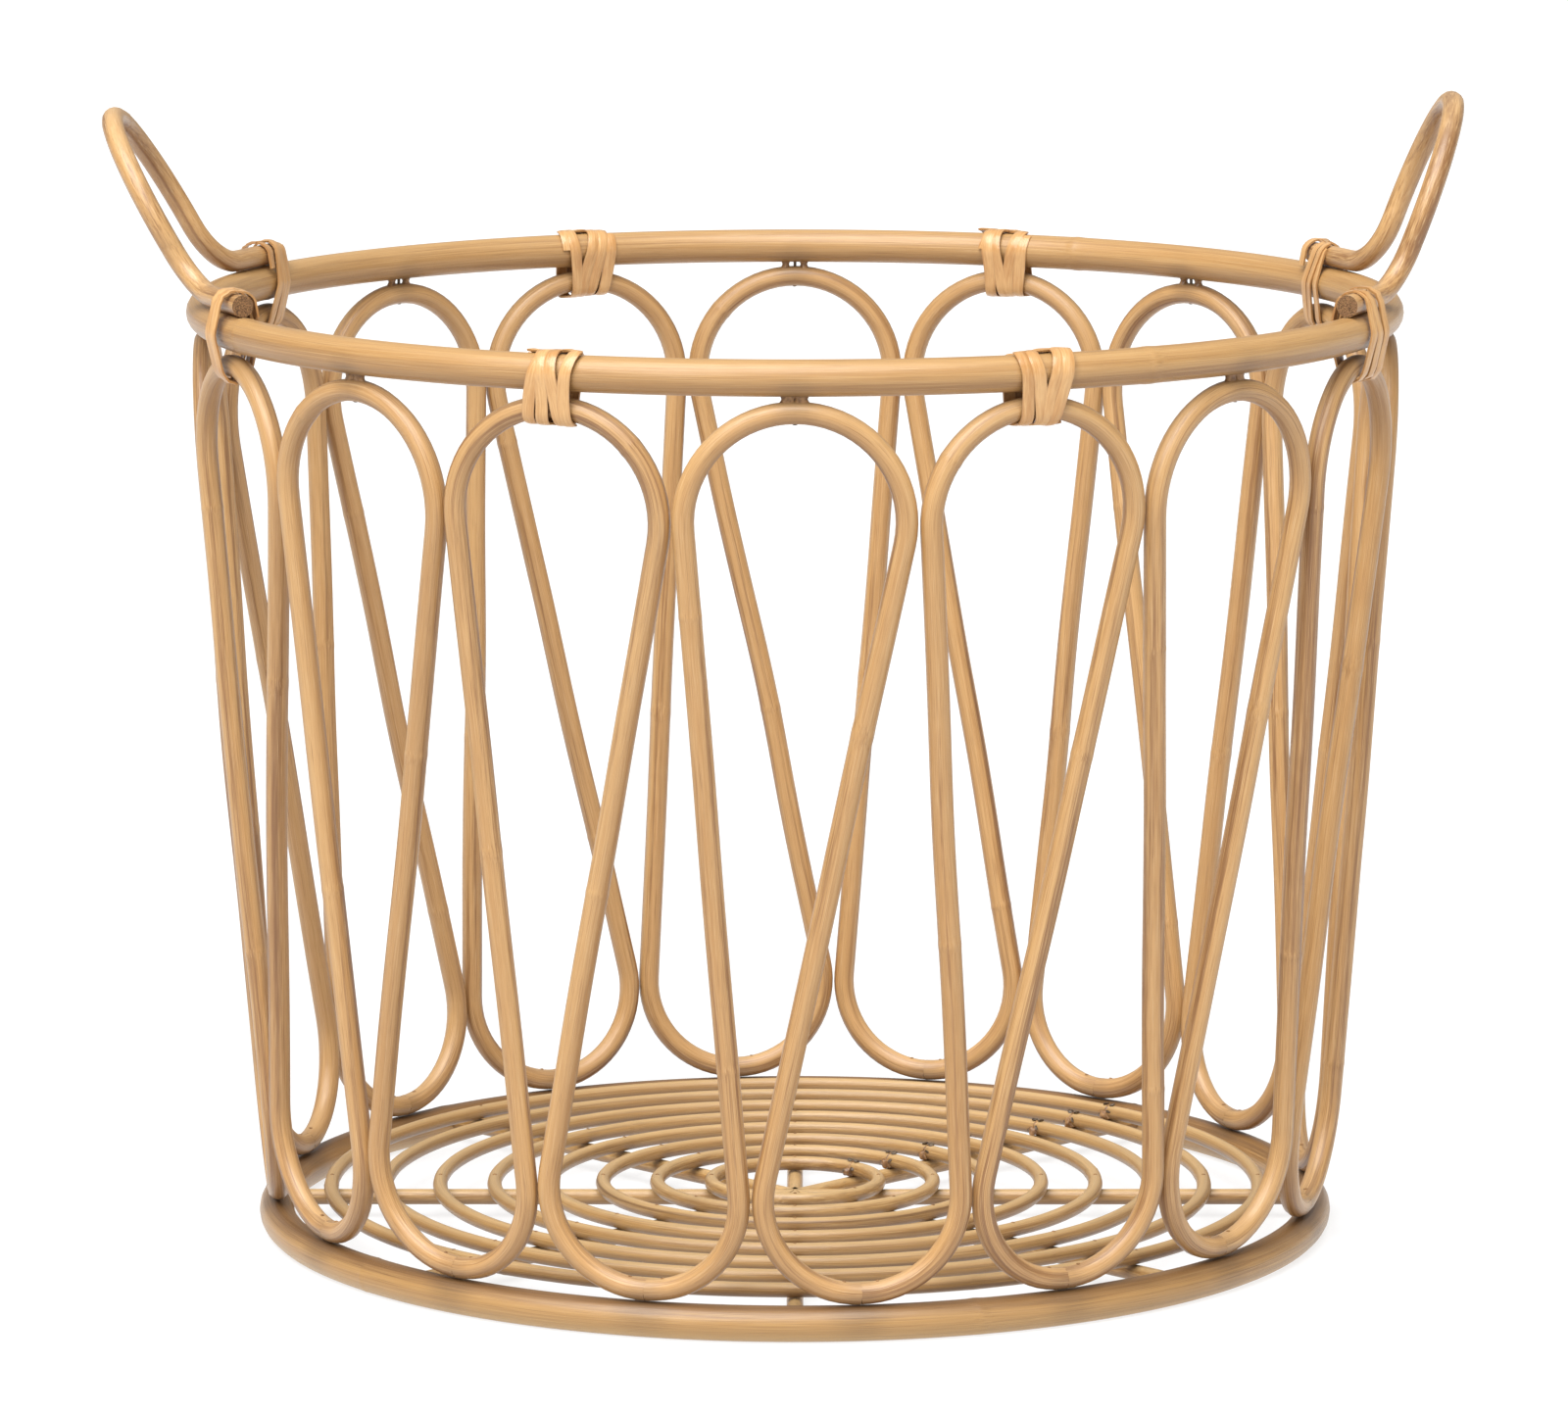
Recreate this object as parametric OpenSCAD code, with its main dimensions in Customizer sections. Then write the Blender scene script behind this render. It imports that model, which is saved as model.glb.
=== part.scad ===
// Open round basket of bent cane: a rim hoop and a base hoop joined by hairpin side canes,
// a floor of nailed rings on spokes, and two handles lashed to the rim.
// +Z is up, +X runs through the handles, and the origin is on the floor under the middle.

/* [Rim] */
// Radius of the rim hoop, to the middle of its cane
rim_r = 218.5; // [180:0.5:265]
// Thickness of the rim hoop
rim_d = 13; // [10:0.5:16]
// Height of the middle of the rim hoop above the floor
rim_z = 345; // [280:1:420]
// Gap under the rim hoop that the glue dabs bridge
rim_gap = 1.5; // [0.5:0.1:3]

/* [Base] */
// Radius of the base hoop, to the middle of its cane
base_r = 195; // [160:0.5:235]
// Thickness of the base hoop
base_d = 13; // [10:0.5:16]
// Depth of the flat that the base hoop stands on
flat_h = 0.4; // [0.2:0.1:1]
// Number of rings in the floor
ring_count = 8; // [6:1:9]
// Radius of the smallest ring
ring_first_r = 31.5; // [24:0.5:40]
// Thickness of a ring
ring_d = 5.5; // [4:0.5:7]
// Thickness of the spokes under the rings
spoke_d = 6; // [5:0.5:8]
// Height of the spokes above the middle of the base hoop
spoke_rise = 1.5; // [0:0.5:2]

/* [Sides] */
// Thickness of a side cane
cane_d = 8; // [6:0.5:10]
// Turn from the plane of an arch to the plane of the foot bend after it, in degrees
foot_turn = 5.6; // [4.5:0.1:11.2]

// Height of the low rings where a cane grew, at the ends of its straight runs
node_ring_h = 0.08; // [0.05:0.01:0.15]
// Width of these rings
node_ring_w = 1.6; // [1:0.2:3]

/* [Handles] */
// Thickness of a handle cane
handle_d = 8; // [6:0.5:10]
// Rise of a handle above the middle of the rim hoop
handle_rise = 72; // [70:1:95]
// Lean of a handle's top outside the middle of the rim hoop
handle_out = 30; // [15:1:45]
// Half width of a handle's top, to its corners
handle_half = 48; // [38:1:50]
// Length of a handle's foot inside its binding
foot_in = 42; // [36:1:48]
// Length of a handle's foot outside its binding
foot_out = 10; // [8:1:16]
// Radius of the bend above a handle's foot
foot_bend = 20; // [12:1:21]

/* [Bindings] */
// Thickness of the binding peel
peel_t = 0.9; // [0.6:0.1:1.4]
// Width of one turn of a rim binding
rim_strap_w = 4.1; // [3:0.1:5]
// Number of turns in a rim binding
rim_turns = 4; // [3:1:5]
// Width of one turn of a handle binding
handle_strap_w = 3.4; // [2.4:0.1:4]
// Number of turns in a handle binding
handle_turns = 3; // [2:1:4]

/* [Nails] */
// Thickness of a nail
nail_d = 1.3; // [1:0.1:1.6]
// Width of a nail's head
nail_head = 2.4; // [1.8:0.1:3]
// Distance of a foot nail from the joint between two side canes
foot_nail_x = 6; // [4:0.5:8]
// Distance of a ring nail from a ring's own joint
joint_nail_x = 1.6; // [1.4:0.1:1.8]
// Width of the glue dabs under the rim hoop
dab_d = 4.4; // [3:0.2:6]

/* [Clearances] */
// Gap between canes that rest on each other
seat_gap = 0.15; // [0.1:0.05:0.4]
// Gap between neighbouring side canes
side_gap = 0.2; // [0.1:0.05:0.5]
// Gap between a binding and what it holds
wrap_gap = 0.25; // [0.2:0.05:0.5]
// Gap round a nail in its hole
nail_gap = 0.04; // [0.02:0.01:0.08]
// Gap between the two ends of a ring, filled with glue
joint_gap = 0.7; // [0.5:0.1:1]
// Gap between the ends of two side canes
end_gap = 0.2; // [0.1:0.1:0.6]
// Gap round a glue dab
glue_gap = 0.05; // [0.02:0.01:0.1]

/* [Hidden] */
$fn = 64;
loops = 16;
spokes = 8;
pitch = 360 / loops;
front = -90;
half_pitch = pitch / 2;

// Heights
base_z = base_d / 2 - flat_h;
spoke_z = base_z + spoke_rise;
ring_z = spoke_z + spoke_d / 2 + seat_gap + ring_d / 2;
foot_z = base_z + base_d / 2 + seat_gap + cane_d / 2;
arch_z = rim_z - rim_d / 2 - rim_gap - cane_d / 2;
handle_foot_z = rim_z + rim_d / 2 + seat_gap + handle_d / 2;

// Rings
ring_pitch = (base_r - ring_first_r) / ring_count;
ring_joint_at = 45;
function ring_r(i) = ring_first_r + i * ring_pitch;

// Side canes. Every arch lies in a plane facing outward and so does every foot bend, and
// the straight legs are the lines where these planes cross.
to_foot = foot_turn;
to_arch = pitch - foot_turn;
sum_sec = 1 / sin(to_foot) + 1 / sin(to_arch);
sum_cot = 1 / tan(to_foot) + 1 / tan(to_arch);
wall_slope = (rim_r - base_r) / (arch_z - foot_z);
function room(r) = r * tan(half_pitch) - (cane_d + side_gap) / (2 * cos(half_pitch));
arch_room = room(rim_r - wall_slope * room(rim_r));
foot_room = room(base_r + wall_slope * room(base_r));
leg_lean = atan((arch_room + foot_room - (rim_r + base_r) / 2 * tan(half_pitch))
    / (arch_z - foot_z - arch_room - foot_room));
arch_half = arch_room / cos(leg_lean);
foot_half = foot_room / cos(leg_lean);
// The slopes of the two kinds of plane follow from the room between the legs at both ends.
arch_on_arch = sum_cot * arch_half;
foot_on_arch = sum_sec * (arch_z - foot_z - arch_half);
arch_on_foot = -sum_sec * (arch_z - foot_z - foot_half);
foot_on_foot = -sum_cot * foot_half;
arch_need = 2 * arch_half - sum_sec * base_r + sum_cot * rim_r;
foot_need = 2 * foot_half - sum_sec * rim_r + sum_cot * base_r;
both = arch_on_arch * foot_on_foot - arch_on_foot * foot_on_arch;
arch_slope = (arch_need * foot_on_foot - foot_need * foot_on_arch) / both;
foot_slope = (arch_on_arch * foot_need - arch_on_foot * arch_need) / both;
function arch_plane(z) = rim_r + arch_slope * (z - arch_z);
function foot_plane(z) = base_r + foot_slope * (z - foot_z);
function leg_after(z) = (foot_plane(z) - arch_plane(z) * cos(to_foot)) / sin(to_foot);
function leg_before(z) = (arch_plane(z) * cos(to_arch) - foot_plane(z)) / sin(to_arch);
function turned(p, at) = [p.x * cos(at) - p.y * sin(at), p.x * sin(at) + p.y * cos(at), p.z];

// Corners of one side cane, with its arch plane facing +X
arch_a = [arch_plane(arch_z), leg_before(arch_z), arch_z];
arch_b = [arch_plane(arch_z), leg_after(arch_z), arch_z];
foot_a = [arch_plane(foot_z), leg_after(foot_z), foot_z];
leg_foot = [arch_plane(foot_z), leg_before(foot_z), foot_z];
foot_b = turned(leg_foot, pitch);
arch_turn_a = turn_at(leg_foot, arch_a, arch_b);
arch_turn_b = turn_at(arch_a, arch_b, foot_a);
foot_turn_a = turn_at(arch_b, foot_a, foot_b);
foot_turn_b = turn_at(foot_a, foot_b, turned(arch_a, pitch));
arch_bend = norm(arch_b - arch_a) / (tan(arch_turn_a / 2) + tan(arch_turn_b / 2));
arch_top = arch_a + unit(arch_b - arch_a) * arch_bend * tan(arch_turn_a / 2);
side_bend = norm(foot_b - foot_a)
    / (tan(foot_turn_a / 2) + tan(foot_turn_b / 2));
foot_way = unit(foot_b - foot_a);
foot_joint = foot_a + foot_way * side_bend * tan(foot_turn_a / 2);
end_turn = end_gap / 2 / side_bend * 180 / PI;
arch_shift = atan2(arch_top.y, arch_top.x);
function arch_at(k) = front + k * pitch;

// Which arches are nailed, lashed to the rim, or lashed with a handle's foot
handle_arches = [loops / 4 - 1, loops / 4 + 1, 3 * loops / 4 - 1, 3 * loops / 4 + 1];
nailed_arches = [for (k = [0 : 2 : loops - 1]) k];
rim_arches = [for (k = [1 : 2 : loops - 1]) if (len(search(k, handle_arches)) == 0) k];
function is_nailed(k) = k % 2 == 0;

// Handles, from the front foot to the back foot of the right one
foot_end = [rim_r * cos(pitch) - foot_out * sin(pitch),
    -rim_r * sin(pitch) - foot_out * cos(pitch), handle_foot_z];
foot_corner = [rim_r * cos(pitch) + foot_in * sin(pitch),
    -rim_r * sin(pitch) + foot_in * cos(pitch), handle_foot_z];
top_corner = [rim_r + handle_out, -handle_half, rim_z + handle_rise];
function across_handle(p) = [p.x, -p.y, p.z];
top_turn = turn_at(foot_corner, top_corner, across_handle(top_corner));
handle_top_bend = handle_half / tan(top_turn / 2);

// Nails
head_t = 0.5;
foot_nail_rise = side_bend - sqrt(side_bend ^ 2 - foot_nail_x ^ 2);
foot_nail_len = cane_d + seat_gap + 0.4 * base_d;
ring_nail_len = ring_d + seat_gap + 0.6 * spoke_d;
rim_nail_len = cane_d + rim_gap + 0.6 * rim_d;
spoke_nail_in = 12;
spoke_nail_sunk = 0.5;
head_lift = 0.3;

function names(word, count) = [for (i = [1 : count]) str(word, "_", i)];

function unit(v) = v / norm(v);
function turn_at(a, b, c) = acos(unit(b - a) * unit(c - b));

// Puts its children in a frame with the given origin and axes
module in_frame(origin, x, y, z) {
    multmatrix([
        [x.x, y.x, z.x, origin.x],
        [x.y, y.y, z.y, origin.y],
        [x.z, y.z, z.z, origin.z],
        [0, 0, 0, 1]
    ]) children();
}

module round_run(a, b, d) {
    length = norm(b - a);
    if (length > 0.01) {
        z = (b - a) / length;
        x = unit(cross(z, abs(z.z) < 0.9 ? [0, 0, 1] : [1, 0, 0]));
        in_frame(a, x, cross(z, x), z) cylinder(h = length, d = d);
    }
}

// A bend of the given radius from the run a-b towards c, turning by the given angle
module round_bend(a, b, c, radius, turn, d) {
    way_in = unit(b - a);
    way_out = unit(c - b);
    inward = unit(way_out - (way_in * way_out) * way_in);
    middle = b - way_in * radius * tan(turn_at(a, b, c) / 2) + inward * radius;
    in_frame(middle, -inward, way_in, cross(-inward, way_in))
        rotate_extrude(angle = turn) translate([radius, 0]) circle(d = d);
}

// A straight run from a to b, less a cut at each end, with a low growth ring where it meets a bend
module round_leg(a, b, cut_a, cut_b, d) {
    way = unit(b - a);
    start = a + way * cut_a;
    finish = b - way * cut_b;
    round_run(start, finish, d);
    for (p = cut_a > 0 ? [start, finish] : [finish])
        round_run(p - way * node_ring_w / 2, p + way * node_ring_w / 2, d + 2 * node_ring_h);
}

module hoop(radius, d) {
    rotate_extrude() translate([radius, 0]) circle(d = d);
}

module nail(length) {
    translate([0, 0, -length]) cylinder(h = length + head_lift, d = nail_d);
    translate([0, 0, head_lift]) cylinder(h = head_t, d = nail_head);
}

module nail_hole(length) {
    translate([0, 0, -length - nail_gap])
        cylinder(h = length + 2 * head_lift + nail_gap, d = nail_d + 2 * nail_gap);
}

// Places of the nails; each puts its children at the top of a cane, with +Z out of it
module at_rim_nail(k) {
    rotate(arch_at(k)) translate([rim_r, 0, arch_z - cane_d / 2]) mirror([0, 0, 1]) children();
}

module at_foot_nails(sides = [-1, 1]) {
    for (side = sides) {
        place = foot_joint + foot_way * side * foot_nail_x;
        translate([place.x, place.y, foot_z + foot_nail_rise + cane_d / 2]) children();
    }
}

module at_ring_nails(i, s) {
    offsets = s * 360 / spokes == ring_joint_at ? [-joint_nail_x, joint_nail_x] : [0];
    rotate(s * 360 / spokes)
        for (y = offsets) translate([ring_r(i), y, ring_z + ring_d / 2]) children();
}

module at_spoke_nail(s) {
    rotate(s * 360 / spokes)
        translate([base_r + base_d / 2 - spoke_nail_sunk, 0, spoke_z]) rotate([0, 90, 0]) children();
}

module spoke_brad(gap = 0) {
    length = base_d + spoke_nail_in;
    translate([0, 0, -length - gap]) cylinder(h = length + gap + (gap > 0 ? 1 : 0), d = nail_d + 2 * gap);
}

module rim_hoop() {
    color("burlywood") difference() {
        translate([0, 0, rim_z]) hoop(rim_r, rim_d);
        for (k = nailed_arches) at_rim_nail(k) nail_hole(rim_nail_len);
    }
}

module base_hoop() {
    color("burlywood") difference() {
        translate([0, 0, base_z]) hoop(base_r, base_d);
        translate([-base_r - base_d, -base_r - base_d, -base_d])
            cube([2 * (base_r + base_d), 2 * (base_r + base_d), base_d]);
        for (k = [0 : loops - 1])
            rotate(arch_at(k) - arch_shift) at_foot_nails() nail_hole(foot_nail_len);
        for (s = [0 : spokes - 1]) at_spoke_nail(s) spoke_brad(nail_gap);
    }
}

// One bent cane: half a foot bend, a leg, an arch, a leg and half the next foot bend
module side_cane_shape() {
    last_foot = turned(foot_a, -pitch);
    arch_cut_a = arch_bend * tan(arch_turn_a / 2);
    arch_cut_b = arch_bend * tan(arch_turn_b / 2);
    foot_cut_a = side_bend * tan(foot_turn_a / 2);
    foot_cut_b = side_bend * tan(foot_turn_b / 2);
    round_bend(arch_a, leg_foot, last_foot, side_bend, foot_turn_b - end_turn, cane_d);
    round_leg(leg_foot, arch_a, foot_cut_b, arch_cut_a, cane_d);
    round_bend(leg_foot, arch_a, arch_b, arch_bend, arch_turn_a + arch_turn_b, cane_d);
    round_leg(arch_b, foot_a, arch_cut_b, foot_cut_a, cane_d);
    round_bend(arch_b, foot_a, foot_b, side_bend, foot_turn_a - end_turn, cane_d);
}

module side_cane(k) {
    color("peru") difference() {
        rotate(arch_at(k) - arch_shift) side_cane_shape();
        rotate(arch_at(k) - arch_shift) at_foot_nails([-1]) nail_hole(foot_nail_len);
        rotate(arch_at(k - 1) - arch_shift) at_foot_nails([1]) nail_hole(foot_nail_len);
        if (is_nailed(k)) at_rim_nail(k) nail_hole(rim_nail_len);
    }
}

module base_ring(i) {
    radius = ring_r(i);
    joint_angle = joint_gap / radius * 180 / PI;
    color("tan") difference() {
        translate([0, 0, ring_z]) rotate(ring_joint_at + joint_angle / 2)
            rotate_extrude(angle = 360 - joint_angle) translate([radius, 0]) circle(d = ring_d);
        for (s = [0 : spokes - 1]) at_ring_nails(i, s) nail_hole(ring_nail_len);
    }
}

module bar_holes(which) {
    for (s = which) {
        for (i = [0 : ring_count - 1]) at_ring_nails(i, s) nail_hole(ring_nail_len);
        at_spoke_nail(s) spoke_brad(nail_gap);
    }
    translate([0, 0, base_z]) hoop(base_r, base_d + 2 * seat_gap);
}

module cross_bar() {
    color("rosybrown") difference() {
        translate([0, 0, spoke_z]) rotate([0, 90, 0]) cylinder(h = 2 * base_r, d = spoke_d, center = true);
        bar_holes([0, spokes / 2]);
    }
}

// A spoke runs from the middle to the hoop: its end is cut to fit the cross bar and its neighbours
module spoke(s) {
    wedge = tan(180 / spokes);
    tip = seat_gap / sin(180 / spokes);
    color("rosybrown") difference() {
        rotate(s * 360 / spokes) intersection() {
            translate([0, 0, spoke_z]) rotate([0, 90, 0]) cylinder(h = base_r, d = spoke_d);
            linear_extrude(spoke_z + spoke_d)
                polygon([[tip, 0], [base_r + tip, -base_r * wedge], [base_r + tip, base_r * wedge]]);
        }
        translate([0, 0, spoke_z]) rotate([0, 90, 0])
            cylinder(h = 2 * base_r, d = spoke_d + 2 * seat_gap, center = true);
        bar_holes([s]);
    }
}

// The right handle, from its front foot to its back foot; the left one is its mirror image
module handle() {
    foot_turn_up = turn_at(foot_end, foot_corner, top_corner);
    foot_cut = foot_bend * tan(foot_turn_up / 2);
    color("sandybrown") {
        for (flip = [false, true]) {
            a = flip ? across_handle(foot_end) : foot_end;
            b = flip ? across_handle(foot_corner) : foot_corner;
            c = flip ? across_handle(top_corner) : top_corner;
            round_leg(a, b, 0, foot_cut, handle_d);
            round_bend(a, b, c, foot_bend, foot_turn_up, handle_d);
            round_leg(b, c, foot_cut, handle_half, handle_d);
        }
        round_bend(foot_corner, top_corner, across_handle(top_corner), handle_top_bend,
            2 * top_turn, handle_d);
    }
}

// Outline of a band pulled tight round circles that are stacked along Y
module band_outline(heights, widths, grow) {
    for (i = [0 : len(heights) - 1])
        translate([0, heights[i]]) circle(d = widths[i] + 2 * grow);
    for (i = [0 : len(heights) - 2]) {
        r0 = widths[i] / 2 + grow;
        r1 = widths[i + 1] / 2 + grow;
        tilt = asin((r0 - r1) / (heights[i + 1] - heights[i]));
        y0 = heights[i] + r0 * sin(tilt);
        y1 = heights[i + 1] + r1 * sin(tilt);
        polygon([[-r0 * cos(tilt), y0], [r0 * cos(tilt), y0],
            [r1 * cos(tilt), y1], [-r1 * cos(tilt), y1]]);
    }
}

// Turns of flat peel round canes that pass through it, over a thin first layer
module binding(k, heights, widths, turns, strap_w) {
    layer = wrap_gap + peel_t / 3;
    rotate(arch_at(k)) translate([rim_r, 0, 0]) rotate([90, 0, 0])
        difference() {
            union() {
                linear_extrude(turns * strap_w, center = true) band_outline(heights, widths, layer);
                for (i = [0 : turns - 1])
                    translate([0, 0, (i - (turns - 1) / 2) * strap_w])
                        linear_extrude(0.9 * strap_w, center = true)
                            band_outline(heights, widths, wrap_gap + peel_t);
            }
            linear_extrude(turns * strap_w + 1, center = true)
                band_outline(heights, widths, wrap_gap);
        }
}

function arch_drop(half_width) = arch_bend - sqrt(arch_bend ^ 2 - half_width ^ 2);

module rim_binding(k) {
    color("wheat") binding(k, [arch_z - arch_drop(rim_turns * rim_strap_w / 2), rim_z],
        [cane_d, rim_d], rim_turns, rim_strap_w);
}

module handle_binding(k) {
    color("wheat") binding(k,
        [arch_z - arch_drop(handle_turns * handle_strap_w / 2), rim_z, handle_foot_z],
        [cane_d, rim_d, handle_d], handle_turns, handle_strap_w);
}

module rim_nails() {
    color("dimgray") for (k = nailed_arches) at_rim_nail(k) nail(rim_nail_len);
}

module foot_nails() {
    color("dimgray") for (k = [0 : loops - 1])
        rotate(arch_at(k) - arch_shift) at_foot_nails() nail(foot_nail_len);
}

module ring_nails() {
    color("dimgray") for (i = [0 : ring_count - 1], s = [0 : spokes - 1])
        at_ring_nails(i, s) nail(ring_nail_len);
}

module spoke_nails() {
    color("dimgray") for (s = [0 : spokes - 1]) at_spoke_nail(s) spoke_brad();
}

module rim_glue() {
    color("khaki") for (k = nailed_arches) difference() {
        rotate(arch_at(k)) translate([rim_r, 0, arch_z]) cylinder(h = rim_z - arch_z, d = dab_d);
        translate([0, 0, rim_z]) hoop(rim_r, rim_d + 2 * glue_gap);
        rotate(arch_at(k)) translate([rim_r, 0, arch_z]) rotate([90, 0, 0])
            cylinder(h = 2 * dab_d, d = cane_d + 2 * glue_gap, center = true);
        at_rim_nail(k) nail_hole(rim_nail_len);
    }
}

module ring_glue() {
    color("saddlebrown") for (i = [0 : ring_count - 1])
        rotate(ring_joint_at) translate([ring_r(i), 0, ring_z]) rotate([90, 0, 0])
            cylinder(h = joint_gap - 2 * glue_gap, d = ring_d, center = true);
}

rim_hoop();
base_hoop();
cross_bar();
handle();  // handle_right
mirror([1, 0, 0]) handle();  // handle_left
rim_nails();
rim_glue();
foot_nails();
ring_nails();
ring_glue();
spoke_nails();
for (k = [0 : loops - 1])
    side_cane(k);
for (i = [0 : ring_count - 1])
    base_ring(i);
for (i = [1 : spokes - 2])
    spoke(i < spokes / 2 ? i : i + 1);
for (i = [0 : len(rim_arches) - 1])
    rim_binding(rim_arches[i]);
for (i = [0 : len(handle_arches) - 1])
    handle_binding(handle_arches[i]);
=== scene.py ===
import math
import random

import bpy
from mathutils import Matrix, Vector, noise


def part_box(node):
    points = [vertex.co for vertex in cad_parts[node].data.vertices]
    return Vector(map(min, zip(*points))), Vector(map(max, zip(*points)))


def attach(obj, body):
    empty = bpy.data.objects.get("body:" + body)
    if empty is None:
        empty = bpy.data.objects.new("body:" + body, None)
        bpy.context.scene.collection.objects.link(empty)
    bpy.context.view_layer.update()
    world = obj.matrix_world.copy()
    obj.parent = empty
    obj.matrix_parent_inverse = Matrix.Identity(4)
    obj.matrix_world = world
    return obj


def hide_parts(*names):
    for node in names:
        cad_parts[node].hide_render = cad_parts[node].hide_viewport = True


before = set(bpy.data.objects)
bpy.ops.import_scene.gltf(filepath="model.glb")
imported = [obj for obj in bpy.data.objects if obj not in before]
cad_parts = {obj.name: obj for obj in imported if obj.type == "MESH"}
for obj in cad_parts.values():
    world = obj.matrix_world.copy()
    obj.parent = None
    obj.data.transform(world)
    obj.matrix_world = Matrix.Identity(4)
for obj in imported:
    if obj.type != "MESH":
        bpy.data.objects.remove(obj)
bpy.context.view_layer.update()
random.seed(41)
noise.seed_set(41)  # noise_vector would otherwise change from run to run
tau = 2 * math.pi
mm = 0.001


# Wraps a node's socket, so that sums on it add Math nodes
class Sock:
    def __init__(self, tree, out):
        self.tree, self.out = tree, out

    def node(self, kind, settings=None, values=None, out=0):
        made = self.tree.nodes.new(kind)
        for key, value in (settings or {}).items():
            setattr(made, key, value)
        for key, value in (values or {}).items():
            if isinstance(value, Sock):
                self.tree.links.new(value.out, made.inputs[key])
            else:
                made.inputs[key].default_value = value
        return Sock(self.tree, made.outputs[out])

    def sums(self, how, *others):
        terms = dict(enumerate((self,) + others))
        return self.node("ShaderNodeMath", {"operation": how}, terms)

    def __add__(self, other): return self.sums("ADD", other)
    def __sub__(self, other): return self.sums("SUBTRACT", other)
    def __mul__(self, other): return self.sums("MULTIPLY", other)
    def __radd__(self, other): return self.sums("ADD", other)
    def __rmul__(self, other): return self.sums("MULTIPLY", other)
    def __rsub__(self, other): return self.sums("MULTIPLY", -1.0).sums("ADD", other)
    def sin(self): return self.sums("SINE")
    def cos(self): return self.sums("COSINE")
    def abs(self): return self.sums("ABSOLUTE")

    def ramp(self, low, high):
        return self.node("ShaderNodeMapRange", {"interpolation_type": "SMOOTHSTEP"},
                         {"Value": self, "From Min": low, "From Max": high})

    def mix(self, first, second):
        return self.node("ShaderNodeMix", {"data_type": "RGBA"}, {0: self, 6: first, 7: second}, out=2)

    def noise(self, scale, detail=2.0, rough=0.5):
        return self.node("ShaderNodeTexNoise", {}, {"Vector": self, "Scale": scale, "Detail": detail,
                                                    "Roughness": rough})


# Gives the material, a socket to start sums from, and its shader
def newMaterial(name):
    made = bpy.data.materials.new(name)
    made.use_nodes = True
    tree = made.node_tree
    tree.nodes.clear()
    shader = tree.nodes.new("ShaderNodeBsdfPrincipled")
    end = tree.nodes.new("ShaderNodeOutputMaterial")
    tree.links.new(shader.outputs[0], end.inputs[0])
    return made, Sock(tree, None), shader


def attribute(start, name, out="Fac"):
    return start.node("ShaderNodeAttribute", {"attribute_name": name}, out=out)


def bumped(start, shader, height, distance):
    values = {"Height": height, "Distance": distance}
    normal = start.node("ShaderNodeBump", {}, values)
    start.tree.links.new(normal.out, shader.inputs["Normal"])


def linear(shade):
    return shade / 12.92 if shade <= 0.04045 else ((shade + 0.055) / 1.055) ** 2.4


def rgb(red, green, blue):
    return linear(red / 255), linear(green / 255), linear(blue / 255), 1.0


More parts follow.
